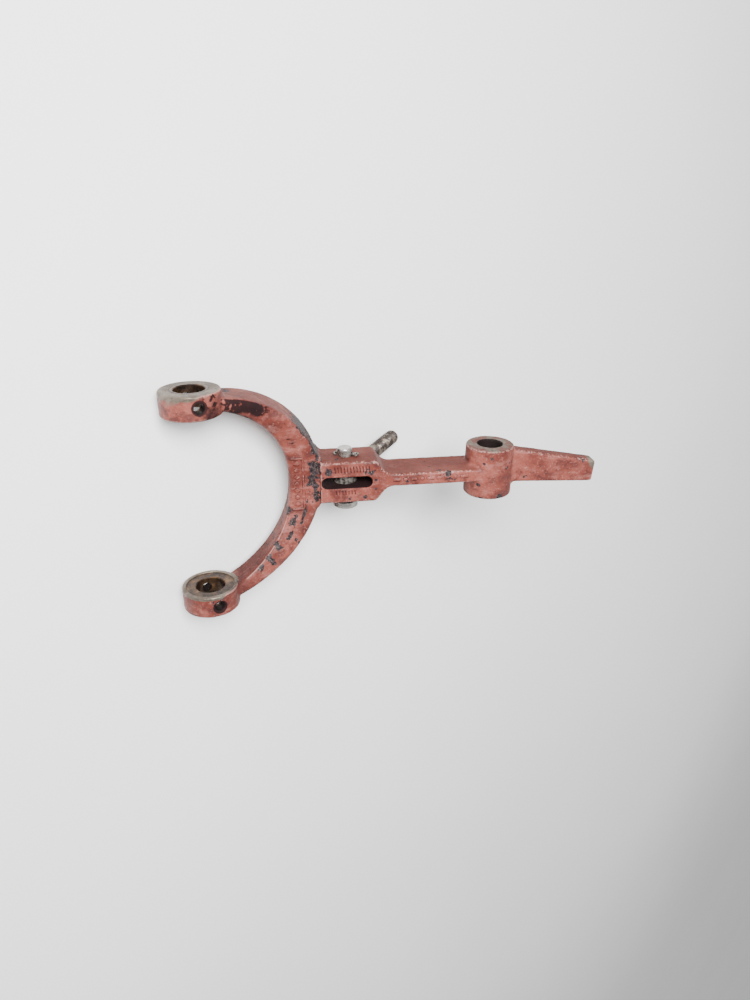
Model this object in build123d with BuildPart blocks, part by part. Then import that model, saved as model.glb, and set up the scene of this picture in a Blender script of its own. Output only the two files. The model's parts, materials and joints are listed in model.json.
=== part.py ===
"""Cast yoke lever: a forked casting with two bushed eyes, a pinned swing bolt, a fulcrum boss and a tang.

The lever is drawn in its own axes, with the clevis pin's centre at the origin: X runs along the
handle, Y along the eyes, the clevis pin and the boss bore, and Z square to the handle. The last
section turns it about Y on to the bench, where it rests on both eyes and the swing bolt's tip.
"""

from build123d import *
import os
from math import acos, atan2, cos, degrees, hypot, radians, sin

# ---- Driving dimensions, in millimetres and degrees ----

EYE_OD = 34.2            # ring at each end of the fork
EYE_HEIGHT = 14.2        # along Y
EYE_GAP = 109.0          # between the two eyes' inner faces
EYE_X = -87.3            # eye axis, from the clevis pin
EYE_Z = 32.1             # the fork sweeps forward to here
EYE_EDGE = 1.0           # rounded rim
CROSS_HOLE = 6.0         # drilled right through each eye, for a locking pin
CROSS_ANGLE = 22.0       # cross hole's lean from Z towards the handle

BUSH_BORE = 17.5
BUSH_CHAMFER = 0.5
BUSH_OD = 20.6
FLANGE_OD = 29.4
FLANGE_THICKNESS = 2.0
FLANGE_RECESS = 0.8      # flange face below the eye's inner face

ARM_Z_START = -1.4       # middle of the fork's web
ARM_Z_RISE = 38.0        # rise of the arm's centre line over a quarter turn
ARM_REACH = 79.0         # last section's angle, inside the eye
ARM_STATIONS = 5         # sections on each side of the web
WEB_WIDTH = 20.6         # section at the middle of the fork
WEB_DEPTH = 22.4
ARM_END_WIDTH = 8.0      # section inside the eye
ARM_END_DEPTH = 20.0
ARM_TAPER = 1.25         # how early the arm narrows
ARM_CORNER = 3.2         # rounded corners of the arm's section

BLOCK_START_X = -16.5
BLOCK_SIZE = 27.4        # square section that holds the swing bolt
GUSSET_OUTER = (-18.0, 18.6)  # X and Y where the corner filling leaves the fork
GUSSET_END_X = -12.0     # and where it meets the block
GUSSET_HOLLOW = 7.0      # radius of its hollow side
GUSSET_BACK = -11.0
GUSSET_DEPTH = 19.6
SLOT_LENGTH = 32.0
SLOT_WIDTH = 7.5
PIN_HOLE = 9.64
SHOULDER_X = 18.6        # end of the block's full height
NECK_X = 25.6            # start of the shank
SHOULDER_ROUND = 4.5
NECK_ROUND = 9.0

SHANK_THICKNESS = 8.5    # along Y
SHANK_EDGE = 1.6

BOSS_X = 94.4
BOSS_OD = 31.0
BOSS_HEIGHT = 33.4
BOSS_BORE = 16.0
BOSS_EDGE = 1.4
BOSS_BLEND = 3.0
JOINT_REACH = 3.5        # edges this near the boss's side are where it meets the handle
SIZE_MATCH = 0.1         # when an edge or corner is picked by its size or place

TANG_ROOT_X = 106.4      # inside the boss's wall
TANG_END_X = 166.6
TANG_END_SLANT = 1.2     # how much shorter the lower corner is
TANG_THICKNESS = 10.2    # along Z
TANG_ROOT_TOP = 14.0     # Y of the upper edge at the root
TANG_ROOT_BOTTOM = -9.2
TANG_TIP_TOP = 3.0
TANG_TIP_BOTTOM = -11.9
TANG_UPPER_CORNER = 2.6
TANG_LOWER_CORNER = 1.6
TANG_EDGE = 1.8

PIN_DIAMETER = 9.5
PIN_END_Y = 19.0
PIN_END_ROUND = 1.5
HEAD_DIAMETER = 16.1
HEAD_THICKNESS = 4.0
HEAD_EDGE = 0.9
END_FLOAT = 3.2          # free travel of the pin along its own axis
COTTER_Y = 15.0
COTTER_HOLE = 2.6

COTTER_TURN = 30.0       # split pin's direction, from X towards the front
COTTER_WIRE = 1.2
COTTER_HALF_GAP = 0.62   # each leg's centre from the split pin's axis
COTTER_LOOP_START = 5.4  # distances along the split pin from the clevis pin's axis
COTTER_LOOP_MIDDLE = 6.7
COTTER_LOOP_END = 8.8
COTTER_LOOP_HALF = 1.7   # distances square to that
COTTER_LEG_END = 6.1
COTTER_HOOK = 3.2
COTTER_LEG_TURN = 4.0
COTTER_WRAP = 5.4
COTTER_BEND = 0.8

BOLT_DIAMETER = 10.0
BOLT_LENGTH = 79.8       # from the clevis pin's centre to the tip
BOLT_LEAN = 31.7         # from straight down, towards the handle
BOLT_FLATS = 7.1         # width over the flats that work in the slot
BOLT_EYE_OD = 14.8
BOLT_NECK = 9.2          # plain neck, under the thread's diameter
BOLT_SHOULDER = 18.1     # where the full round begins
BOLT_THREAD_START = 34.0
BOLT_TIP_ROUND = 2.2

# ---- Sizes that follow ----

eye_inner_y = EYE_GAP / 2
eye_mid_y = eye_inner_y + EYE_HEIGHT / 2
block_half = BLOCK_SIZE / 2
head_inner_y = -(block_half + END_FLOAT)
counterbore_depth = FLANGE_RECESS + FLANGE_THICKNESS
shank_middle_x = (NECK_X + BOSS_X - BOSS_OD / 2) / 2
shank_length = BOSS_X - BOSS_OD / 2 - NECK_X
cotter_along = (cos(radians(COTTER_TURN)), 0, sin(radians(COTTER_TURN)))
cotter_plane = Plane(origin=(0, COTTER_Y, 0), x_dir=(0, 1, 0), z_dir=cotter_along)
cotter_wire_plane = Plane(origin=(0, COTTER_Y, 0), x_dir=cotter_along, z_dir=(0, -1, 0))


def arm_centre(angle):
    """Centre of the fork's section at an angle from the web, positive towards the upper eye."""
    quarter = angle / 90
    return Vector(EYE_X + eye_mid_y * cos(radians(angle)),
                  eye_mid_y * sin(radians(angle)),
                  ARM_Z_START + ARM_Z_RISE * quarter ** 2)


def arm_plane(angle):
    """Plane square to the fork's centre line, with its x axis pointing out from the eyes' axis."""
    step = 0.05
    along = (arm_centre(angle + step) - arm_centre(angle - step)).normalized()
    outward = Vector(cos(radians(angle)), sin(radians(angle)), 0)
    outward = (outward - along * outward.dot(along)).normalized()
    return Plane(origin=arm_centre(angle), x_dir=outward, z_dir=along)


def cross_plane(side):
    """Plane square to the cross hole of the eye on one side."""
    cross = radians(CROSS_ANGLE)
    return Plane(origin=(EYE_X, side * eye_mid_y, EYE_Z), x_dir=(0, 1, 0),
                 z_dir=(sin(cross), 0, cos(cross)))


# ---- Yoke casting: fork, eyes, slotted block, shank, boss and tang in one piece ----

with BuildPart() as yoke:
    for station in range(-ARM_STATIONS, ARM_STATIONS + 1):
        share = abs(station) / ARM_STATIONS
        with BuildSketch(arm_plane(ARM_REACH * station / ARM_STATIONS)):
            RectangleRounded(WEB_WIDTH + (ARM_END_WIDTH - WEB_WIDTH) * share ** ARM_TAPER,
                             WEB_DEPTH + (ARM_END_DEPTH - WEB_DEPTH) * share, ARM_CORNER)
    loft()

    # Slotted block with its shoulder, running down to the flat shank
    with BuildSketch(Plane.XY.offset(-block_half)) as block_outline:
        with BuildLine():
            upper = Polyline((BLOCK_START_X, 0), (BLOCK_START_X, block_half), (SHOULDER_X, block_half),
                             (NECK_X, SHANK_THICKNESS / 2), (BOSS_X, SHANK_THICKNESS / 2), (BOSS_X, 0))
            mirror(upper, about=Plane.XZ)
        make_face()
        shoulder = block_outline.vertices().filter_by(lambda v: abs(v.X - SHOULDER_X) < SIZE_MATCH)
        fillet(shoulder, SHOULDER_ROUND)
        neck = block_outline.vertices().filter_by(lambda v: abs(v.X - NECK_X) < SIZE_MATCH)
        fillet(neck, NECK_ROUND)
    extrude(amount=BLOCK_SIZE)

    # Gussets that fill the corners between the fork and the block
    with BuildSketch(Plane.XY.offset(GUSSET_BACK)):
        with BuildLine():
            Polyline((GUSSET_OUTER[0], 0), GUSSET_OUTER)
            RadiusArc(GUSSET_OUTER, (GUSSET_END_X, block_half), -GUSSET_HOLLOW)
            Line((GUSSET_END_X, block_half), (GUSSET_END_X, 0))
            mirror(about=Plane.XZ)
        make_face()
    extrude(amount=GUSSET_DEPTH)

    # Fulcrum boss, round the Y axis
    with BuildSketch(Plane.XY) as boss_profile:
        with Locations((BOSS_X + BOSS_OD / 4, 0)):
            Rectangle(BOSS_OD / 2, BOSS_HEIGHT)
        fillet(boss_profile.vertices().group_by(Axis.X)[-1], BOSS_EDGE)
    revolve(axis=Axis((BOSS_X, 0, 0), (0, 1, 0)))

    # Tang
    with BuildSketch(Plane.XY.offset(-TANG_THICKNESS / 2)) as tang_outline:
        with BuildLine():
            Polyline((TANG_ROOT_X, TANG_ROOT_TOP), (TANG_END_X, TANG_TIP_TOP),
                     (TANG_END_X - TANG_END_SLANT, TANG_TIP_BOTTOM),
                     (TANG_ROOT_X, TANG_ROOT_BOTTOM), close=True)
        make_face()
        fillet(tang_outline.vertices().sort_by(Axis.X)[-1], TANG_UPPER_CORNER)
        fillet(tang_outline.vertices().sort_by(Axis.Y)[0], TANG_LOWER_CORNER)
    extrude(amount=TANG_THICKNESS)

    # Eyes, round the axis that they share
    for side in (-1, 1):
        with BuildSketch(Plane.XY.offset(EYE_Z)) as eye_profile:
            with Locations((EYE_X + EYE_OD / 4, side * eye_mid_y)):
                Rectangle(EYE_OD / 2, EYE_HEIGHT)
            fillet(eye_profile.vertices().group_by(Axis.X)[-1], EYE_EDGE)
        revolve(axis=Axis((EYE_X, 0, EYE_Z), (0, 1, 0)))

    # Rounded casting edges along the handle
    tang_edges = yoke.edges().filter_by(lambda e: e.center().X > BOSS_X + BOSS_OD / 2 + BOSS_BLEND)
    fillet(tang_edges, TANG_EDGE)
    shank_edges = yoke.edges().filter_by(
        lambda e: abs(e.center().X - shank_middle_x) < shank_length / 4 and e.length > shank_length / 2)
    fillet(shank_edges, SHANK_EDGE)
    boss_joints = yoke.edges().filter_by(
        lambda e: abs(hypot(e.center().X - BOSS_X, e.center().Z) - BOSS_OD / 2) < JOINT_REACH
        and abs(e.center().Y) < BOSS_HEIGHT / 2 - BOSS_EDGE - SIZE_MATCH)
    fillet(boss_joints, BOSS_BLEND)

    # Slot for the swing bolt, right through the block
    with BuildSketch(Plane.XY.offset(-block_half)):
        SlotOverall(SLOT_LENGTH, SLOT_WIDTH)
    extrude(amount=BLOCK_SIZE, mode=Mode.SUBTRACT)

    # Clevis pin's hole and the fulcrum bore, both along Y
    with BuildSketch(Plane.XZ.offset(-BOSS_HEIGHT)):
        Circle(PIN_HOLE / 2)
        with Locations((BOSS_X, 0)):
            Circle(BOSS_BORE / 2)
    extrude(amount=2 * BOSS_HEIGHT, mode=Mode.SUBTRACT)

    # Each eye: the bush's seat, the flange's counterbore and the cross hole
    for side in (-1, 1):
        with BuildSketch(Plane.XZ.offset(-side * eye_mid_y)):
            with Locations((EYE_X, EYE_Z)):
                Circle(BUSH_OD / 2)
        extrude(amount=EYE_HEIGHT, both=True, mode=Mode.SUBTRACT)
        with BuildSketch(Plane.XZ.offset(-side * eye_inner_y)):
            with Locations((EYE_X, EYE_Z)):
                Circle(FLANGE_OD / 2)
        extrude(amount=-side * counterbore_depth, mode=Mode.SUBTRACT)
        with BuildSketch(cross_plane(side)):
            Circle(CROSS_HOLE / 2)
        extrude(amount=EYE_OD / 2 + 1, both=True, mode=Mode.SUBTRACT)

yoke.part.label = "yoke_casting"


# ---- Eye bushes: flanged bronze, pressed in from the fork's gap and cross drilled with the eye ----

def make_bush(side, name):
    """Flanged bush for the eye on one side of the handle."""
    flange_y = side * (eye_inner_y + FLANGE_RECESS)
    with BuildPart() as bush:
        with BuildSketch(Plane.XZ.offset(-flange_y)):
            with Locations((EYE_X, EYE_Z)):
                Circle(FLANGE_OD / 2)
        extrude(amount=-side * FLANGE_THICKNESS)
        with BuildSketch(Plane.XZ.offset(-flange_y)):
            with Locations((EYE_X, EYE_Z)):
                Circle(BUSH_OD / 2)
        extrude(amount=-side * (EYE_HEIGHT - FLANGE_RECESS))
        with BuildSketch(Plane.XZ.offset(-side * eye_mid_y)):
            with Locations((EYE_X, EYE_Z)):
                Circle(BUSH_BORE / 2)
        extrude(amount=EYE_HEIGHT, both=True, mode=Mode.SUBTRACT)
        bore_rims = bush.edges().filter_by(GeomType.CIRCLE).filter_by(
            lambda e: abs(e.radius - BUSH_BORE / 2) < SIZE_MATCH)
        chamfer(bore_rims, BUSH_CHAMFER)
        with BuildSketch(cross_plane(side)):
            Circle(CROSS_HOLE / 2)
        extrude(amount=EYE_OD / 2 + 1, both=True, mode=Mode.SUBTRACT)
    bush.part.label = name
    return bush.part


# ---- Clevis pin: plain shank, round head, chamfered end and a hole for the split pin ----

with BuildPart() as clevis_pin:
    with BuildSketch(Plane.XZ.offset(-head_inner_y)):
        Circle(PIN_DIAMETER / 2)
    extrude(amount=-(PIN_END_Y - head_inner_y))
    fillet(clevis_pin.edges().sort_by(Axis.Y)[-1], PIN_END_ROUND)
    with BuildSketch(Plane.XZ.offset(-head_inner_y)):
        Circle(HEAD_DIAMETER / 2)
    extrude(amount=HEAD_THICKNESS)
    fillet(clevis_pin.edges().filter_by(GeomType.CIRCLE).sort_by(Axis.Y)[0], HEAD_EDGE)
    with BuildSketch(cotter_plane):
        Circle(COTTER_HOLE / 2)
    extrude(amount=PIN_DIAMETER, both=True, mode=Mode.SUBTRACT)
clevis_pin.part.label = "clevis_pin"


# ---- Split pin: one wire, looped beside the clevis pin, its legs bent round the pin's front ----

wire_half = [(COTTER_LOOP_END, COTTER_LOOP_HALF), (COTTER_LOOP_MIDDLE, COTTER_LOOP_HALF),
             (COTTER_LOOP_START, COTTER_HALF_GAP), (-COTTER_LEG_END, COTTER_HALF_GAP)]
back_leg = [(along, -across) for along, across in wire_half] + [(-COTTER_LEG_END, -COTTER_HOOK)]
front_leg = [(-COTTER_LEG_TURN, COTTER_WRAP), (-COTTER_LEG_END, COTTER_HOOK)] + wire_half[::-1]

with BuildPart() as split_pin:
    with BuildLine(cotter_wire_plane) as cotter_wire:
        FilletPolyline(*front_leg, *back_leg, radius=COTTER_BEND)
    with BuildSketch(Plane(origin=cotter_wire.line @ 0, z_dir=cotter_wire.line % 0)):
        Circle(COTTER_WIRE / 2)
    sweep()
split_pin.part.label = "split_pin"


# ---- Swing bolt: flat eye and neck that work in the slot, and a round threaded end ----

lean = radians(BOLT_LEAN)
bolt_down = Vector(sin(lean), 0, -cos(lean))
bolt_plane = Plane(origin=(0, 0, 0), x_dir=(0, 1, 0), z_dir=bolt_down)

with BuildPart() as swing_bolt:
    with BuildSketch(bolt_plane):
        Circle(BOLT_NECK / 2)
        Rectangle(BOLT_FLATS, BOLT_NECK, mode=Mode.INTERSECT)
    extrude(amount=BOLT_SHOULDER)
    with BuildSketch(bolt_plane.offset(BOLT_SHOULDER)):
        Circle(BOLT_NECK / 2)
    extrude(amount=BOLT_THREAD_START - BOLT_SHOULDER)
    with BuildSketch(bolt_plane.offset(BOLT_THREAD_START)):
        Circle(BOLT_DIAMETER / 2)
    extrude(amount=BOLT_LENGTH - BOLT_THREAD_START)
    tip = swing_bolt.edges().sort_by(lambda e: e.center().dot(bolt_down))[-1]
    fillet(tip, BOLT_TIP_ROUND)
    with BuildSketch(Plane.XZ.offset(-BOLT_FLATS / 2)):
        Circle(BOLT_EYE_OD / 2)
    extrude(amount=BOLT_FLATS)
    with BuildSketch(Plane.XZ.offset(-BOLT_FLATS / 2)):
        Circle(PIN_HOLE / 2)
    extrude(amount=BOLT_FLATS, mode=Mode.SUBTRACT)
swing_bolt.part.label = "swing_bolt"


# ---- On to the bench: tipped about Y until both eyes and the bolt's tip stand on the ground ----

def bench_tilt():
    """Angle that brings the eyes' lowest lines and the bolt's lowest point to one level, in degrees."""
    tip_inset = BOLT_DIAMETER / 2 - BOLT_TIP_ROUND
    tip_corner = Vector((BOLT_LENGTH - BOLT_TIP_ROUND) * sin(lean) - tip_inset * cos(lean), 0,
                        -(BOLT_LENGTH - BOLT_TIP_ROUND) * cos(lean) - tip_inset * sin(lean))
    span = Vector(EYE_X, 0, EYE_Z) - tip_corner
    drop = EYE_OD / 2 - BOLT_TIP_ROUND
    return degrees(acos(drop / span.length) + atan2(span.X, span.Z))


nodes = [yoke.part, make_bush(1, "eye_bush_near"), make_bush(-1, "eye_bush_far"),
         clevis_pin.part, split_pin.part, swing_bolt.part]
tilt = Rot(0, -bench_tilt(), 0)
box = Compound(children=[tilt * node for node in nodes]).bounding_box()
bench = Pos(-box.center().X, -box.center().Y, -box.min.Z) * tilt

os.makedirs("parts", exist_ok=True)
for node in nodes:
    placed = bench * node
    placed.label = node.label
    export_step(placed, f"parts/{node.label}.step")

print("tilt about Y", round(bench_tilt(), 4), "size", box.size, "clevis pin", bench.position)
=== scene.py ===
"""Looks of the cast yoke lever: worn red oxide paint, bare rims, bronze bushes, bright pins, rusty bolt."""

import json
import math

import bmesh
import bpy
import numpy as np
from mathutils import Matrix, Vector, noise


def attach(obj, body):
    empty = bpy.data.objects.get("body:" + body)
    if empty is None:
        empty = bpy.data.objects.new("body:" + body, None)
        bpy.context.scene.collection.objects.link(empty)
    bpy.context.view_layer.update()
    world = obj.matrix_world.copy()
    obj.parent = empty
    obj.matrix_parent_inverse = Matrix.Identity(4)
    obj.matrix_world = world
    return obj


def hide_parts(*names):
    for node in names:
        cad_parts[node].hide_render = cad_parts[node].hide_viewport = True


MM = 0.001

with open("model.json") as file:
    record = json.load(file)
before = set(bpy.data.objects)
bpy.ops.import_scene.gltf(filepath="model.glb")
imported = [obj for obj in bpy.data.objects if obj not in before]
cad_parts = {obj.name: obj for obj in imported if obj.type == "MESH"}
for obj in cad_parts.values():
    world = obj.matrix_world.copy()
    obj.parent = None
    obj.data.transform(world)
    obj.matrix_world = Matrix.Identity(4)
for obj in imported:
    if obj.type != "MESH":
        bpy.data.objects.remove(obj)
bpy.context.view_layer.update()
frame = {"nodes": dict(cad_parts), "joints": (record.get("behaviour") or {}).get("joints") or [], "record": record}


# ---- Lever axes: X along the handle, Y along the clevis pin, Z square to the handle ----

def mount(name):
    """The record's mount of that name."""
    return next(m for m in frame["record"]["mounts"] if m["name"] == name)


PIN_CENTRE = Vector(next(j for j in frame["joints"] if j["name"] == "bolt_swing")["pos_m"])
FRONT = Vector(mount("tang_face")["axis"])
LEVER = Matrix((Vector((FRONT.z, 0, -FRONT.x)), Vector((0, 1, 0)), FRONT)).transposed()


def row_point(x, y, z):
    """A point given in millimetres in lever axes, in the row's frame."""
    return PIN_CENTRE + LEVER @ (Vector((x, y, z)) * MM)


def lever_points(points):
    """Row frame points, as an array in metres, in lever axes in millimetres."""
    return (np.asarray(points) - np.array(PIN_CENTRE)) @ np.array(LEVER) / MM


eye_axis = lever_points([mount("eye_bore_near")["pos_m"]])[0]
eye_y = float(eye_axis[1])
EYE_X, EYE_Z = float(eye_axis[0]), float(eye_axis[2])
EYE_R = 17.1
EYE_HALF = 7.1
BOSS_X = float(lever_points([mount("fulcrum_bore")["pos_m"]])[0][0])
BOSS_R = 15.5
BORE_R = mount("fulcrum_bore")["dims"]["r_mm"]
BOSS_HALF = mount("fulcrum_bore")["dims"]["length_mm"] / 2
BLOCK_FRONT = 13.7
FORK_R = abs(float(lever_points([mount("cross_hole_near")["pos_m"]])[0][1]))
CROSS_WAY = np.array(LEVER.transposed() @ Vector(mount("cross_hole_near")["axis"]))


# ---- Camera, floor and soft light ----

CAMERA_FROM_PIN = (-39.5, 173.9, 411.8)
CAMERA_LENS = 25.2
CAMERA_RIGHT = Vector((0.99014, 0.00329, 0.14007))
CAMERA_DOWN = Vector((-0.05602, -0.90705, 0.41727))
CAMERA_AHEAD = Vector((0.12842, -0.421, -0.89792))


def link(obj):
    bpy.context.scene.collection.objects.link(obj)
    return obj


def add_camera():
    data = bpy.data.cameras.new("camera")
    data.lens = CAMERA_LENS
    data.sensor_width = 36
    data.clip_start = 0.01
    camera = link(bpy.data.objects.new("camera", data))
    turn = Matrix((CAMERA_RIGHT, -CAMERA_DOWN, -CAMERA_AHEAD)).transposed()
    camera.matrix_world = Matrix.Translation(row_point(*CAMERA_FROM_PIN)) @ (LEVER @ turn).to_4x4()
    bpy.context.scene.camera = camera


def add_area_light(name, place, energy, size):
    """A soft square light aimed at the lever's middle."""
    data = bpy.data.lights.new(name, "AREA")
    data.energy = energy
    data.size = size
    light = link(bpy.data.objects.new(name, data))
    light.location = place
    aim = Vector((0, 0, 0.05)) - light.location
    light.rotation_euler = aim.to_track_quat("-Z", "Y").to_euler()


def add_world(strength):
    world = bpy.data.worlds.new("studio")
    world.use_nodes = True
    background = world.node_tree.nodes["Background"]
    background.inputs["Color"].default_value = (1.0, 1.0, 1.0, 1)
    background.inputs["Strength"].default_value = strength
    bpy.context.scene.world = world


# ---- Shader helpers ----

NOISE_MIDDLE = 0.5


class Shader:
    """A material with short ways to add its nodes."""

    def __init__(self, name):
        self.material = bpy.data.materials.new(name)
        self.material.use_nodes = True
        self.tree = self.material.node_tree
        self.surface = self.tree.nodes["Principled BSDF"]
        self.place = self.tree.nodes.new("ShaderNodeTexCoord").outputs["Object"]

    def put(self, socket, value):
        if hasattr(value, "links"):
            self.tree.links.new(value, socket)
        elif isinstance(value, tuple) and len(value) == 3:
            socket.default_value = (*value, 1)
        else:
            socket.default_value = value

    def noise(self, scale, detail=4.0, rough=0.55, stretch=None):
        node = self.tree.nodes.new("ShaderNodeTexNoise")
        node.inputs["Scale"].default_value = scale
        node.inputs["Detail"].default_value = detail
        node.inputs["Roughness"].default_value = rough
        if stretch:
            mapping = self.tree.nodes.new("ShaderNodeMapping")
            mapping.inputs["Scale"].default_value = stretch
            self.tree.links.new(self.place, mapping.inputs["Vector"])
            self.tree.links.new(mapping.outputs["Vector"], node.inputs["Vector"])
        else:
            self.tree.links.new(self.place, node.inputs["Vector"])
        return node.outputs["Fac"]

    def step(self, value, low, high, to_low=0.0, to_high=1.0):
        """Smooth step of a value, between two limits."""
        node = self.tree.nodes.new("ShaderNodeMapRange")
        node.interpolation_type = "SMOOTHSTEP"
        for key, number in (("From Min", low), ("From Max", high), ("To Min", to_low), ("To Max", to_high)):
            node.inputs[key].default_value = number
        self.put(node.inputs["Value"], value)
        return node.outputs["Result"]

    def maths(self, operation, a, b):
        node = self.tree.nodes.new("ShaderNodeMath")
        node.operation = operation
        self.put(node.inputs[0], a)
        self.put(node.inputs[1], b)
        return node.outputs[0]

    def ragged(self, mask, breaker, amount, low, high):
        """A mask cut off between two limits, its edge broken up by a noise."""
        broken = self.maths("MULTIPLY", self.maths("SUBTRACT", breaker, NOISE_MIDDLE), amount)
        return self.step(self.maths("ADD", mask, broken), low, high)

    def mix(self, share, a, b):
        node = self.tree.nodes.new("ShaderNodeMix")
        node.data_type = "RGBA"
        self.put(node.inputs["Factor"], share)
        self.put(node.inputs[6], a)
        self.put(node.inputs[7], b)
        return node.outputs[2]

    def masks(self, name):
        """The channels of a colour that the mesh carries."""
        node = self.tree.nodes.new("ShaderNodeAttribute")
        node.attribute_name = name
        split = self.tree.nodes.new("ShaderNodeSeparateColor")
        self.tree.links.new(node.outputs["Color"], split.inputs["Color"])
        return [split.outputs[k] for k in ("Red", "Green", "Blue")]

    def bump(self, height, distance, strength=1.0):
        node = self.tree.nodes.new("ShaderNodeBump")
        node.inputs["Distance"].default_value = distance
        node.inputs["Strength"].default_value = strength
        self.put(node.inputs["Height"], height)
        self.tree.links.new(node.outputs["Normal"], self.surface.inputs["Normal"])

    def finish(self, colour, rough, metal=0.0):
        self.put(self.surface.inputs["Base Color"], colour)
        self.put(self.surface.inputs["Roughness"], rough)
        self.put(self.surface.inputs["Metallic"], metal)
        return self.material


# ---- Materials ----

def painted_iron():
    """Dusty red oxide paint over dark iron; the mesh says where it is worn, chipped, bare, grimy and darkened by
    painted shade.
    """
    s = Shader("painted_iron")
    wear, chip, bare = s.masks("age")
    smudge_and_shade, shade_and_matt, _ = s.masks("smudges_and_shade")
    broad = s.noise(28, 3)
    patch = s.noise(120, 5, 0.6)
    fine = s.noise(700, 4, 0.65)
    speck = s.noise(1500, 2, 0.5)
    streak = s.noise(70, 5, 0.6, stretch=(1.0, 2.6, 1.7))

    # Paint: broad tone, faded and stained patches, streaks, fine dust, pits, and painted shade on side faces
    deep_red, oxide_red = (0.120, 0.028, 0.021), (0.215, 0.058, 0.043)
    faded, stain = (0.270, 0.092, 0.076), (0.062, 0.016, 0.014)
    dark_streak, pale_streak = (0.062, 0.022, 0.021), (0.300, 0.120, 0.102)
    dust, pit = (0.350, 0.165, 0.140), (0.060, 0.022, 0.022)
    shaded_red, worn_pink = (0.080, 0.020, 0.014), (0.370, 0.205, 0.178)
    paint = s.mix(s.step(broad, 0.40, 0.62), deep_red, oxide_red)
    paint = s.mix(s.step(patch, 0.50, 0.72, 0, 0.6), paint, faded)
    paint = s.mix(s.step(patch, 0.49, 0.34, 0, 0.75), paint, stain)
    paint = s.mix(s.step(streak, 0.52, 0.66, 0, 0.65), paint, dark_streak)
    paint = s.mix(s.step(streak, 0.46, 0.32, 0, 0.45), paint, pale_streak)
    paint = s.mix(s.step(fine, 0.54, 0.74, 0, 0.5), paint, dust)
    paint = s.mix(s.step(speck, 0.38, 0.30, 0, 0.7), paint, pit)
    # Painted shade: side faces and faces turned from the front are darker
    paint = s.mix(s.maths("MULTIPLY", shade_and_matt, 0.8), paint, shaded_red)
    worn = s.ragged(wear, fine, 0.9, 0.42, 0.80)
    paint = s.mix(s.maths("MULTIPLY", worn, 0.6), paint, worn_pink)

    # Chips down to dark iron with beige specks
    iron_black, iron_dark, iron_speck = (0.012, 0.009, 0.010), (0.042, 0.031, 0.034), (0.220, 0.150, 0.125)
    iron = s.mix(s.step(fine, 0.42, 0.62), iron_black, iron_dark)
    iron = s.mix(s.step(speck, 0.60, 0.68, 0, 0.8), iron, iron_speck)
    chipped = s.ragged(chip, fine, 1.5, 0.42, 0.62)
    colour = s.mix(chipped, paint, iron)

    # Metal rubbed bare
    metal_brown, metal_beige = (0.080, 0.062, 0.048), (0.175, 0.145, 0.116)
    metal_stain = (0.060, 0.038, 0.030)
    metal = s.mix(s.step(patch, 0.35, 0.65), metal_brown, metal_beige)
    metal = s.mix(s.step(fine, 0.52, 0.70, 0, 0.6), metal, metal_stain)
    rubbed = s.ragged(bare, patch, 0.8, 0.40, 0.62)
    colour = s.mix(rubbed, colour, metal)

    # Black grime and painted shade on top of everything
    smudge_and_shade_black = (0.012, 0.008, 0.009)
    smudged_and_shaded = s.ragged(smudge_and_shade, fine, 0.6, 0.25, 0.85)
    colour = s.mix(s.maths("MULTIPLY", smudged_and_shaded, 0.93), colour, smudge_and_shade_black)

    matt = (0.80, 0.80, 0.80)
    rough = s.step(fine, 0.3, 0.7, 0.34, 0.56)
    rough = s.mix(rubbed, rough, s.step(fine, 0.3, 0.7, 0.30, 0.48))
    rough = s.mix(s.maths("MULTIPLY", shade_and_matt, 0.8), rough, matt)
    grain = s.maths("ADD", s.maths("MULTIPLY", fine, 0.7), s.maths("MULTIPLY", speck, 0.3))
    s.bump(grain, 0.00035, 0.7)
    s.put(s.surface.inputs["Specular IOR Level"], s.step(smudged_and_shaded, 0, 1, 0.14, 0.03))
    return s.finish(colour, rough, s.maths("MULTIPLY", rubbed, 0.45))


def bronze():
    """Oily brown bronze with dark stains and golden rubbed patches."""
    s = Shader("oily_bronze")
    patch = s.noise(160, 4, 0.6)
    fine = s.noise(900, 4, 0.6)
    oily, brown = (0.020, 0.012, 0.009), (0.075, 0.040, 0.020)
    golden, stain = (0.240, 0.135, 0.055), (0.055, 0.040, 0.032)
    colour = s.mix(s.step(patch, 0.38, 0.62), oily, brown)
    colour = s.mix(s.step(patch, 0.58, 0.74, 0, 0.6), colour, golden)
    colour = s.mix(s.step(fine, 0.52, 0.70, 0, 0.6), colour, stain)
    s.bump(fine, 0.0002, 0.6)
    return s.finish(colour, s.step(fine, 0.3, 0.7, 0.26, 0.50), 0.75)


def bright_steel(name, tone, stain):
    """Turned steel, rubbed bright, with brown stains and fine scratches."""
    s = Shader(name)
    patch = s.noise(260, 4, 0.6)
    fine = s.noise(1300, 4, 0.65)
    scratch = s.noise(500, 3, 0.6, stretch=(1.0, 9.0, 1.0))
    colour = s.mix(s.step(patch, 0.40, 0.60), tuple(0.72 * c for c in tone), tone)
    colour = s.mix(s.step(fine, 0.54, 0.70, 0, 0.7), colour, stain)
    colour = s.mix(s.step(scratch, 0.58, 0.66, 0, 0.5), colour, tuple(0.5 * c for c in tone))
    s.bump(s.maths("ADD", fine, scratch), 0.00015, 0.5)
    return s.finish(colour, s.step(patch, 0.3, 0.7, 0.22, 0.46), 0.9)


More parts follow.
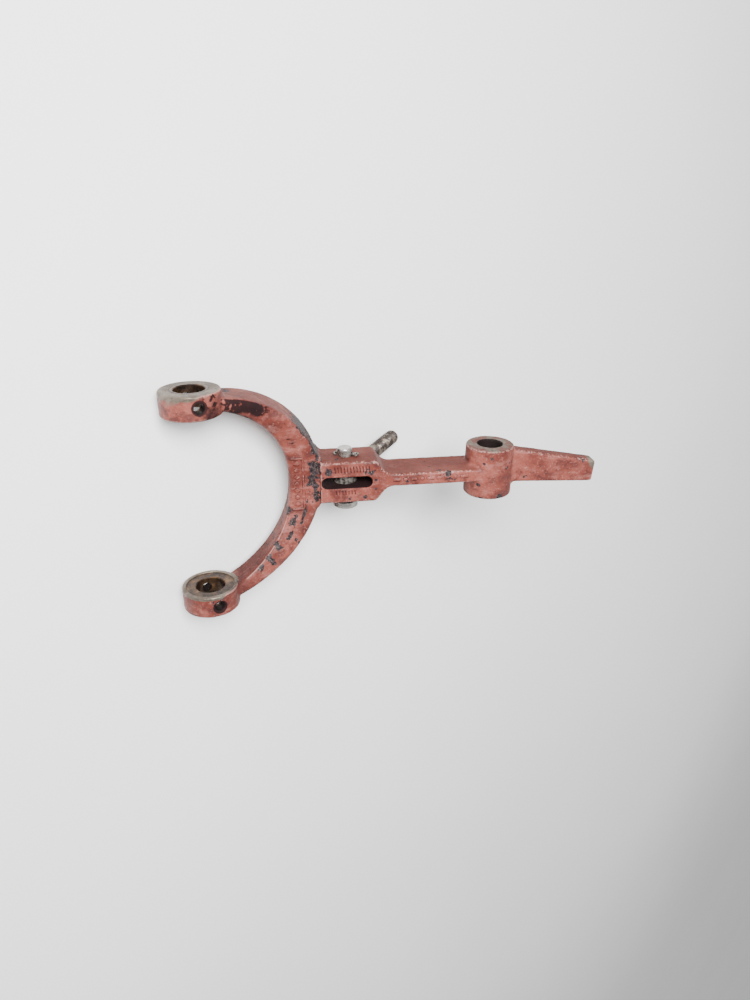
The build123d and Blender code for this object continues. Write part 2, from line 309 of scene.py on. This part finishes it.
def rusty_bolt():
    """Threaded bolt: grey beige crests, rust, black grease and painted shade in the grooves, and the eye's front
    rim rubbed bright with a painted highlight.
    """
    s = Shader("bolt_steel_worn")
    groove, rub, _ = s.masks("thread")
    patch = s.noise(170, 4, 0.6)
    fine = s.noise(1000, 4, 0.65)
    dark_crest, pale_crest = (0.024, 0.017, 0.014), (0.210, 0.172, 0.136)
    rust, grease_and_shade, polish_and_highlight = (0.075, 0.042, 0.030), (0.012, 0.009, 0.008), (0.420, 0.390, 0.350)
    crest = s.mix(s.step(patch, 0.48, 0.64), dark_crest, pale_crest)
    crest = s.mix(s.step(fine, 0.52, 0.68, 0, 0.6), crest, rust)
    # Grooves: black grease and painted shade
    colour = s.mix(s.ragged(groove, fine, 0.25, 0.20, 0.55), crest, grease_and_shade)
    # The front of the eye's rim: rubbed bright, and a painted highlight
    colour = s.mix(s.maths("MULTIPLY", rub, s.step(patch, 0.4, 0.6)), colour, polish_and_highlight)
    s.bump(fine, 0.0002, 0.8)
    return s.finish(colour, s.step(fine, 0.3, 0.7, 0.30, 0.55), 0.65)


def pale_floor():
    s = Shader("floor")
    mist = s.noise(3, 2)
    return s.finish(s.mix(s.step(mist, 0.2, 0.8), (0.93, 0.93, 0.93), (0.97, 0.97, 0.97)), 0.9)


# ---- Mesh helpers ----

def smoothstep(value, low, high):
    share = np.clip((value - low) / (high - low), 0, 1)
    return share * share * (3 - 2 * share)


def fractal(points, scale, octaves=3, seed=0.0):
    """Layered noise at each point, about -1 to 1."""
    shift = Vector((seed, 2 * seed, -seed))
    return np.array([noise.fractal(Vector(p) * scale + shift, 1.0, 2.0, octaves) for p in points])


class Skin:
    """A mesh's points, edges and normals as arrays."""

    def __init__(self, mesh):
        self.mesh = mesh
        count = len(mesh.vertices)
        self.points = np.empty(count * 3)
        mesh.vertices.foreach_get("co", self.points)
        self.points = self.points.reshape(-1, 3)
        ends = np.empty(len(mesh.edges) * 2, dtype=np.int64)
        mesh.edges.foreach_get("vertices", ends)
        self.ends = ends.reshape(-1, 2)
        self.valence = np.maximum(np.bincount(ends, minlength=count), 1)

    def average(self, values):
        """Mean of the neighbours' values."""
        a, b = self.ends[:, 0], self.ends[:, 1]
        count = len(self.points)
        values = values.reshape(count, -1)
        out = np.empty_like(values)
        for k in range(values.shape[1]):
            column = values[:, k]
            out[:, k] = np.bincount(a, column[b], count) + np.bincount(b, column[a], count)
        return out / self.valence[:, None]

    def relax(self, values, times, weight=1.0):
        values = values.reshape(len(self.points), -1).copy()
        weight = np.broadcast_to(np.asarray(weight, float).reshape(-1, 1), (len(self.points), 1))
        for _ in range(times):
            values += 0.5 * weight * (self.average(values) - values)
        return values

    def write(self):
        self.mesh.vertices.foreach_set("co", self.points.ravel())
        self.mesh.update()

    def normals(self):
        self.write()
        out = np.empty(len(self.points) * 3)
        self.mesh.vertices.foreach_get("normal", out)
        return out.reshape(-1, 3)

    def hollow(self, times):
        """Signed depth below the smoothed surface, in metres: above zero in hollows, below on edges."""
        smooth = self.relax(self.points, times)
        return ((smooth - self.points) * self.normals()).sum(1)

    def paint(self, name, red, green, blue):
        layer = self.mesh.color_attributes.new(name, "FLOAT_COLOR", "POINT")
        colour = np.ones((len(self.points), 4))
        for k, channel in enumerate((red, green, blue)):
            colour[:, k] = np.clip(channel, 0, 1)
        layer.data.foreach_set("color", colour.ravel())


def voxel_copy(node, name, voxel):
    """A node's shape as an even fine mesh in a new object."""
    mesh = frame["nodes"][node].data.copy()
    mesh.materials.clear()
    bm = bmesh.new()
    bm.from_mesh(mesh)
    bmesh.ops.remove_doubles(bm, verts=bm.verts, dist=1e-6)
    bm.to_mesh(mesh)
    bm.free()
    piece = link(bpy.data.objects.new(name, mesh))
    remesh = piece.modifiers.new("even", "REMESH")
    remesh.mode = "VOXEL"
    remesh.voxel_size = voxel
    graph = bpy.context.evaluated_depsgraph_get()
    piece.data = bpy.data.meshes.new_from_object(piece.evaluated_get(graph))
    piece.modifiers.clear()
    piece.data.name = name
    return piece


# ---- Casting ----

VOXEL = 0.45 * MM
BLEND_ROUNDS = 130       # smoothing rounds in the cast blends
EDGE_ROUNDS = 3          # smoothing rounds all over, for worn edges
MARK_HEIGHT = 0.5        # raised lines and dashes
STUD_HEIGHT = 0.6
TICK_DEPTHS = (0.24, 0.16, 0.2)
CHIP_DEPTH = 0.14
COARSE_SAND, FINE_SAND = 0.11, 0.05
SLOT_HALF_STRAIGHT = 12.25
SLOT_REACH = 4.3         # slot's half width and a little more
PIN_HOLE_REACH = 6.2     # clevis pin hole's radius and its edge
FORK_END_X = -14         # the fork's casting lies below this X, the handle above it

# Chips: angle round the fork in degrees, distance out from its centre line, reach round and across
FORK_CHIPS = ((9, 6.6, 6, 4.2), (0, 5.4, 6, 3.8), (-8, 7.2, 5, 3.0), (-25, -3.0, 4.5, 2.6),
              (-20, -8.0, 3.5, 1.8), (-34, -1.0, 4.5, 1.6), (-43, -4.5, 2.6, 3.4), (-51, -0.8, 2.0, 4.4),
              (-58, -2.7, 2.6, 2.2), (-19, 1.8, 7, 1.3), (31, 8.6, 9, 2.0), (17, 9.4, 7, 1.8))
# Chips on the handle: X, Y, reach
HANDLE_CHIPS = ((-11.5, 7.8, 2.6), (11.1, -10.3, 1.3), (1.5, -11.1, 1.0), (18.0, 1.0, 1.0), (18.0, -5.2, 0.9),
                (99.0, -15.2, 2.4), (91.6, 11.9, 1.0), (84.7, -7.0, 1.3), (87.1, 8.1, 1.0))


def raised_marks(x, y, facing, z):
    """Height in millimetres of the foundry marks: framed studs on the fork, dashes on the shank."""
    height = np.zeros(len(x))

    def raise_to(mask, amount):
        np.maximum(height, mask * amount, out=height)

    on_fork = facing * smoothstep(-x, 20, 24)
    frame_right = 1 - smoothstep(abs(x + 27.0), 0.25, 0.75)
    in_length = 1 - smoothstep(abs(y + 0.5), 16.8, 17.6)
    raise_to(frame_right * in_length * on_fork, MARK_HEIGHT)
    for end in (-17.4, 16.4):
        across = 1 - smoothstep(abs(x + 30.8), 3.4, 4.2)
        raise_to((1 - smoothstep(abs(y - end), 0.25, 0.75)) * across * on_fork, MARK_HEIGHT)
    for k in range(7):
        middle = -14.0 + 4.5 * k
        if k % 2:
            stud = 1 - smoothstep(np.hypot(x + 31.0, y - middle), 0.9, 1.6)
        else:
            stud = 1 - smoothstep(abs(x + 31.0) / 1.3 + abs(y - middle), 1.2, 2.0)
        raise_to(stud * on_fork, STUD_HEIGHT)
    on_shank = facing * smoothstep(x, 27, 29) * smoothstep(z, 11, 12)
    for k in range(9):
        middle = 31.5 + 5.4 * k
        half = (1.6, 0.5, 1.0, 0.2)[k % 4]
        reach = np.hypot(np.maximum(abs(x - middle) - half, 0), y - 0.4)
        raise_to((1 - smoothstep(reach, 0.6, 1.3)) * on_shank, MARK_HEIGHT)
    return height


def gauge_ticks(x, y, facing):
    """Depth in millimetres of the short worn ticks beside the slot."""
    depth = np.zeros(len(x))
    for first, count, low, high in ((-7.2, 12, 6.2, 11.2), (-6.6, 7, -8.4, -4.9)):
        reach = smoothstep(y, low - 0.4, low + 0.6) * (1 - smoothstep(y, high - 0.8, high + 0.3))
        for k in range(count):
            line = 1 - smoothstep(abs(x - first - 1.95 * k + 0.12 * (y - low)), 0.2, 0.65)
            np.maximum(depth, line * reach * TICK_DEPTHS[k % 3], out=depth)
    return depth * facing


class CastSkin(Skin):
    """The casting's surface, with the places and directions that its shapes and masks use."""

    def __init__(self, mesh):
        super().__init__(mesh)
        x, y, z = lever_points(self.points).T
        self.from_eye = np.hypot(x - EYE_X, z - EYE_Z)
        self.from_boss = np.hypot(x - BOSS_X, z)
        self.at_eye = (abs(abs(y) - eye_y) < EYE_HALF + 1).astype(float)
        in_eye_bore = (self.from_eye < EYE_R - 1.2) * self.at_eye
        self.bored = np.maximum(in_eye_bore, (self.from_boss < BORE_R + 1.0) * 1.0)
        from_slot = np.hypot(np.maximum(abs(x) - SLOT_HALF_STRAIGHT, 0), y)
        self.slot = (from_slot < SLOT_REACH) * (abs(z) < BLOCK_FRONT + 1)
        pin_hole = (np.hypot(x, z) < PIN_HOLE_REACH) * 1.0
        # Machined or hidden surfaces keep their shape
        self.kept = np.maximum.reduce([self.bored, self.slot * 1.0, pin_hole])

    def smooth(self):
        """Cast blends in every outside hollow, and worn edges all over."""
        hollow = self.hollow(8) / MM
        joint = smoothstep(hollow, 0.04, 0.14) * (1 - self.kept)
        joint = smoothstep(self.relax(joint, 16)[:, 0], 0.04, 0.22) * (1 - self.kept)
        self.points = self.relax(self.points, BLEND_ROUNDS, joint)
        self.points = self.relax(self.points, EDGE_ROUNDS, 1 - self.kept)

    def locate(self):
        """Places in lever axes, polar places round the fork, and which way each point faces."""
        normals = self.normals()
        self.facing_way = normals
        self.x, self.y, self.z = lever_points(self.points).T
        self.front = normals @ np.array(FRONT)
        self.facing = smoothstep(self.front, 0.55, 0.85)
        end_face = smoothstep(abs(normals[:, 1]), 0.85, 0.97)
        boss_end = (self.from_boss < BOSS_R + 0.5) * (abs(self.y) > BOSS_HALF - 1)
        self.rim = np.maximum(end_face * (self.from_eye < EYE_R + 0.5) * self.at_eye, end_face * boss_end)
        angle = np.arctan2(self.y, self.x - EYE_X)
        self.angle = np.degrees(angle)
        self.out = np.hypot(self.x - EYE_X, self.y) - FORK_R
        self.normal_x, self.normal_y, _ = (normals @ np.array(LEVER)).T
        self.inward = -(np.cos(angle) * self.normal_x + np.sin(angle) * self.normal_y)
        self.ragged = fractal(self.points, 380, 4, 3.0)


def chip_mask(c):
    """Where paint is gone down to dark iron."""
    chip = np.zeros(len(c.x))
    for turn, offset, reach_round, reach_across in FORK_CHIPS:
        far = np.hypot((c.angle - turn) / reach_round, (c.out - offset) / reach_across)
        gone = 1 - smoothstep(far + 0.75 * c.ragged, 0.55, 1.10)
        chip = np.maximum(chip, gone * (c.x < FORK_END_X) * (c.front > -0.2))
    for spot_x, spot_y, reach in HANDLE_CHIPS:
        far = np.hypot(c.x - spot_x, c.y - spot_y) / reach
        gone = 1 - smoothstep(far + 0.35 * c.ragged, 0.65, 1.2)
        chip = np.maximum(chip, gone * (c.x > FORK_END_X) * (c.front > 0.2))
    scattered = fractal(c.points, 85, 4, 11.0) + 0.35 * c.ragged
    chip = np.maximum(chip, smoothstep(scattered, 0.62, 0.80) * (1 - c.rim))
    return chip * (1 - c.kept)


def cross_hole_mask(c):
    """In and just round the cross holes of both eyes."""
    cross = np.zeros(len(c.x))
    for side in (1, -1):
        offset = np.stack([c.x - EYE_X, c.y - side * eye_y, c.z - EYE_Z], 1)
        away = np.linalg.norm(offset - (offset @ CROSS_WAY)[:, None] * CROSS_WAY, axis=1)
        cross = np.maximum(cross, (1 - smoothstep(away, 4.0, 4.9)) * (abs(c.y - side * eye_y) < 4.5))
    return cross


def wear_mask(c, marks, cross, boss_rub, on_arm):
    """Where paint is worn thin: edges, raised marks, patches, and the lower arm's inner edge."""
    edges = -c.hollow(10) / MM
    wear = smoothstep(edges, 0.03, 0.16) * (1 - c.kept) * (1 - 0.8 * cross)
    near_marks = smoothstep(c.relax(smoothstep(marks, 0.05, 0.2), 3)[:, 0], 0.05, 0.4)
    wear *= 1 - 0.55 * near_marks
    patches = smoothstep(fractal(c.points, 60, 3, 5.0), 0.1, 0.7)
    ridge = (1 - smoothstep(abs(c.inward - c.front), 0.06, 0.30)) * smoothstep(c.inward, 0.35, 0.5)
    lower_ridge = ridge * on_arm * (c.y < 0) * smoothstep(-c.angle, 16, 28)
    return np.maximum.reduce([wear, 0.42 * smoothstep(marks, 0.2, 0.4), 0.34 * patches,
                              0.95 * lower_ridge, 0.5 * boss_rub])


def bare_mask(c, boss_rub):
    """Where metal is rubbed bare: the eyes' rims and sides, the boss ends and the tang's end."""
    handle_side = c.x - EYE_X
    top_of_eye = smoothstep(c.y, eye_y + 0.5, eye_y + EYE_HALF) * (1 - 0.9 * smoothstep(handle_side, 2, 12))
    side_rub = smoothstep(-handle_side + 0.7 * (c.z - EYE_Z), 2, 16)
    side_rub = side_rub * smoothstep(c.y, eye_y - 6, eye_y + 4)
    low_rub = smoothstep(c.y, -eye_y + 4.2, -eye_y + 6.4) * (1 - smoothstep(handle_side, 6, 13))
    eye_rub = np.where(c.y > 0, np.maximum(top_of_eye, 0.55 * side_rub), low_rub)
    eye_rub = eye_rub * c.at_eye * (c.from_eye < EYE_R + 2)
    eye_rub = np.maximum(c.rim * (c.from_eye < EYE_R) * c.at_eye, eye_rub)
    tang_end = smoothstep(c.x, 156, 166) * smoothstep(c.y, -10, 2)
    return np.maximum.reduce([0.95 * eye_rub, 0.75 * tang_end, 0.5 * boss_rub, c.bored * 0.6])


def smudge_and_shade_mask(c, marks, ticks, cross, boss_rub, low_strip):
    """Where black grime has settled, and where shade is painted: the upper arm's root, under the upper eye, the
    fork's outer edge and the boss's bore; darker too in the slot, the cross holes and the hollows.
    """
    # The dark band at the upper arm's root: painted shade on its downward-facing front face, and grime
    upper_face = smoothstep(c.angle, 44, 55) * smoothstep(c.out, -5, 0.5) + smoothstep(c.angle, 60, 70)
    root = np.clip(upper_face, 0, 1) * smoothstep(c.front, 0.25, 0.6) * (1 - smoothstep(c.angle, 79, 90))
    root *= smoothstep(c.ragged + 1.1 * np.exp(-((c.angle - 62) / 12) ** 2), 0.05, 0.65)
    root = np.maximum(root, smoothstep(c.angle, 42, 60) * smoothstep(c.inward, 0.35, 0.8)) * (c.x < -42)
    # Smears on the arms; grime and painted shade along the fork's outer edge and under the upper eye
    upper = c.y > 0
    under_eye = np.exp(-((c.x - EYE_X - 12) / 7) ** 2) * (1 - smoothstep(c.y, eye_y - 3, eye_y + 4))
    under_eye = under_eye * upper * c.at_eye
    arm_root = np.exp(-((c.angle + 72) / 7) ** 2) * (c.x < -50)
    fork_edge = smoothstep(c.normal_x + c.normal_y, 0.75, 1.2) * np.exp(-((c.angle - 22) / 11) ** 2)
    fork_edge = fork_edge * (c.x < FORK_END_X)
    inner_marks = smoothstep(np.sin(c.y * 2.1) + c.ragged, 0.1, 0.7) * np.exp(-((c.y - 29) / 7) ** 2)
    inner_marks *= np.exp(-((c.out + 1.2) / 2.6) ** 2) * (c.x < -20) * upper * (c.front > 0.3)
    # Darker in hollows; grime on the ground beside the marks and in the ticks; painted shade in the boss's bore
    hollows = smoothstep(c.hollow(14) / MM, 0.04, 0.2) * (1 - c.kept)
    beside_marks = c.relax(smoothstep(marks, 0.05, 0.3), 4)[:, 0] * 3.2
    beside_marks = np.clip(beside_marks, 0, 1) * (marks < 0.16) * smoothstep(c.ragged, -0.5, 0.1)
    in_ticks = smoothstep(ticks, 0.05, 0.16)
    bore_shade = smoothstep(c.from_boss, BORE_R + 1.2, BORE_R + 0.2) * (c.x > 60)
    return np.maximum.reduce([c.slot * (c.front < 0.6) * 1.0, cross, 0.95 * root, 0.75 * under_eye,
                              0.5 * low_strip, 0.55 * arm_root, 0.6 * fork_edge, 0.8 * inner_marks,
                              beside_marks, 0.7 * in_ticks, 0.42 * boss_rub, 0.22 * hollows,
                              0.9 * bore_shade])


def shade_and_matt_mask(c, boss_rub, low_strip):
    """Where the paint is darker and matt: painted shade on the handle's upward side faces and on hidden faces
    turned from the front, and the boss ends.
    """
    side_up = smoothstep(c.normal_y, 0.35, 0.9) * (1 - c.rim) * (c.x > -16)
    away_from_front = smoothstep(0.45 - c.front, 0, 0.5)
    return np.maximum.reduce([0.9 * side_up, 0.9 * boss_rub, 0.7 * low_strip, 0.5 * away_from_front])


def casting():
    piece = voxel_copy("yoke_casting", "yoke_casting_skin", VOXEL)
    c = CastSkin(piece.data)
    c.smooth()
    c.locate()
    marks = raised_marks(c.x, c.y, c.facing, c.z)
    ticks = gauge_ticks(c.x, c.y, c.facing)
    sand = COARSE_SAND * fractal(c.points, 260, 3) + FINE_SAND * fractal(c.points, 900, 2, 7.0)
    sand = sand * (1 - c.kept) * (1 - 0.7 * c.rim)
    chip = chip_mask(c)
    lift = marks - ticks + sand - CHIP_DEPTH * chip * (marks < 0.05)
    c.points += c.facing_way * (lift * MM)[:, None]

    on_arm = (c.x < -30) * (1 - c.at_eye)
    low_strip = smoothstep(c.inward, 0.5, 0.8) * smoothstep(-c.angle, 26, 55) * on_arm
    boss_rub = (c.from_boss < BOSS_R + 1) * smoothstep(abs(c.y), BOSS_HALF - 2.0, BOSS_HALF - 0.2)
    cross = cross_hole_mask(c)
    wear = wear_mask(c, marks, cross, boss_rub, on_arm)
    bare = bare_mask(c, boss_rub)
    smudge_and_shade = smudge_and_shade_mask(c, marks, ticks, cross, boss_rub, low_strip)
    shade_and_matt = shade_and_matt_mask(c, boss_rub, low_strip)
    c.paint("age", wear, chip, bare)
    c.paint("smudges_and_shade", smudge_and_shade, shade_and_matt, np.zeros(len(c.x)))
    c.write()
    piece.data.shade_smooth()
    piece.data.materials.append(painted_iron())
    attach(piece, "yoke")
    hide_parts("yoke_casting")
    return piece


# ---- Swing bolt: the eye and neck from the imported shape, and a cut thread ----

THREAD_PITCH = 1.5
THREAD_DEPTH = 0.75
THREAD_R = mount("bolt_thread")["dims"]["r_mm"]
THREAD_LENGTH = mount("bolt_thread")["dims"]["length_mm"]
TIP_ROUND = 2.2
THREAD_RUN_IN = 3.0      # the groove reaches full depth over this length
GROOVE_HALF = 0.36       # share of the pitch on each side of the groove's bottom
NECK_R = 4.6
NECK_GRIME = 0.25


def thread_mesh(bm):
    """A closed threaded rod along the bolt's axis, run in at the neck and rounded at the tip."""
    way = Vector(mount("bolt_thread")["axis"])
    middle = Vector(mount("bolt_thread")["pos_m"])
    side = Vector((0, 1, 0))
    other = way.cross(side)
    start = -THREAD_LENGTH / 2 - 0.6
    end = THREAD_LENGTH / 2 + TIP_ROUND
    around, rings = 56, 300
    loops = []
    groove = {}
    for ring in range(rings + 1):
        along = start + (end - start) * ring / rings
        from_tip = end - along
        limit = THREAD_R
        if from_tip < TIP_ROUND:
            limit = THREAD_R - TIP_ROUND + math.sqrt(max(TIP_ROUND ** 2 - (TIP_ROUND - from_tip) ** 2, 0))
        run_in = min(max((along - start) / THREAD_RUN_IN, 0), 1)
        loop = []
        for k in range(around):
            turn = 2 * math.pi * k / around
            phase = (along / THREAD_PITCH - k / around) % 1
            depth = max(0.0, 1 - abs(phase - 0.5) / GROOVE_HALF) * run_in
            radius = min(THREAD_R - THREAD_DEPTH * depth, limit)
            if run_in < 1:
                radius = min(radius, NECK_R + (THREAD_R - NECK_R) * run_in)
            place = middle + (way * along + (side * math.cos(turn) + other * math.sin(turn)) * radius) * MM
            vertex = bm.verts.new(place)
            groove[vertex] = depth
            loop.append(vertex)
        loops.append(loop)
    for low, high in zip(loops, loops[1:]):
        for k in range(around):
            bm.faces.new((low[k], low[(k + 1) % around], high[(k + 1) % around], high[k]))
    bm.faces.new(loops[0][::-1])
    bm.faces.new(loops[-1])
    return groove


def swing_bolt():
    """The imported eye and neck, cut off square, with the thread in place of the plain end."""
    way = Vector(mount("bolt_thread")["axis"])
    cut = Vector(mount("bolt_thread")["pos_m"]) - way * ((THREAD_LENGTH / 2 + 0.3) * MM)
    bm = bmesh.new()
    bm.from_mesh(frame["nodes"]["swing_bolt"].data)
    bmesh.ops.remove_doubles(bm, verts=bm.verts, dist=1e-6)
    whole = bm.verts[:] + bm.edges[:] + bm.faces[:]
    bmesh.ops.bisect_plane(bm, geom=whole, plane_co=cut, plane_no=way, clear_outer=True)
    rim = [e for e in bm.edges if e.is_boundary]
    bmesh.ops.holes_fill(bm, edges=rim)
    groove = thread_mesh(bm)
    bmesh.ops.recalc_face_normals(bm, faces=bm.faces)
    # Red: thread groove depth, for grease and painted shade; green: rub and painted highlight on the front of the
    # eye's rim
    layer = bm.verts.layers.float_color.new("thread")
    for vertex in bm.verts:
        x, y, z = lever_points([vertex.co])[0]
        on_eye = 7.0 < math.hypot(x, z) < 7.6
        vertex[layer] = (groove.get(vertex, NECK_GRIME), 0.8 if on_eye and z > 0 else 0.0, 0, 1)
    mesh = bpy.data.meshes.new("swing_bolt_threaded")
    bm.to_mesh(mesh)
    bm.free()
    piece = link(bpy.data.objects.new("swing_bolt_threaded", mesh))
    mesh.materials.append(rusty_bolt())
    mesh.shade_smooth()
    mesh.set_sharp_from_angle(angle=math.radians(40))
    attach(piece, "bolt")
    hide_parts("swing_bolt")


# ---- Scene ----

add_camera()
add_world(0.52)
add_area_light("key", (-0.40, 0.52, 0.80), 32, 0.42)
add_area_light("fill", (0.7, -0.4, 0.9), 4, 1.2)

floor_mesh = bpy.data.meshes.new("floor")
bm = bmesh.new()
bmesh.ops.create_grid(bm, x_segments=1, y_segments=1, size=4)
bm.to_mesh(floor_mesh)
bm.free()
floor = link(bpy.data.objects.new("floor", floor_mesh))
floor_mesh.materials.append(pale_floor())

casting()
swing_bolt()

pin_steel = bright_steel("pin_steel", (0.46, 0.44, 0.41), (0.085, 0.055, 0.045))
cotter_steel = bright_steel("cotter_steel", (0.15, 0.135, 0.12), (0.040, 0.028, 0.022))
for node, material in (("eye_bush_near", bronze()), ("eye_bush_far", bronze()),
                       ("clevis_pin", pin_steel), ("split_pin", cotter_steel)):
    obj = frame["nodes"][node]
    for slot in obj.material_slots:
        slot.material = material
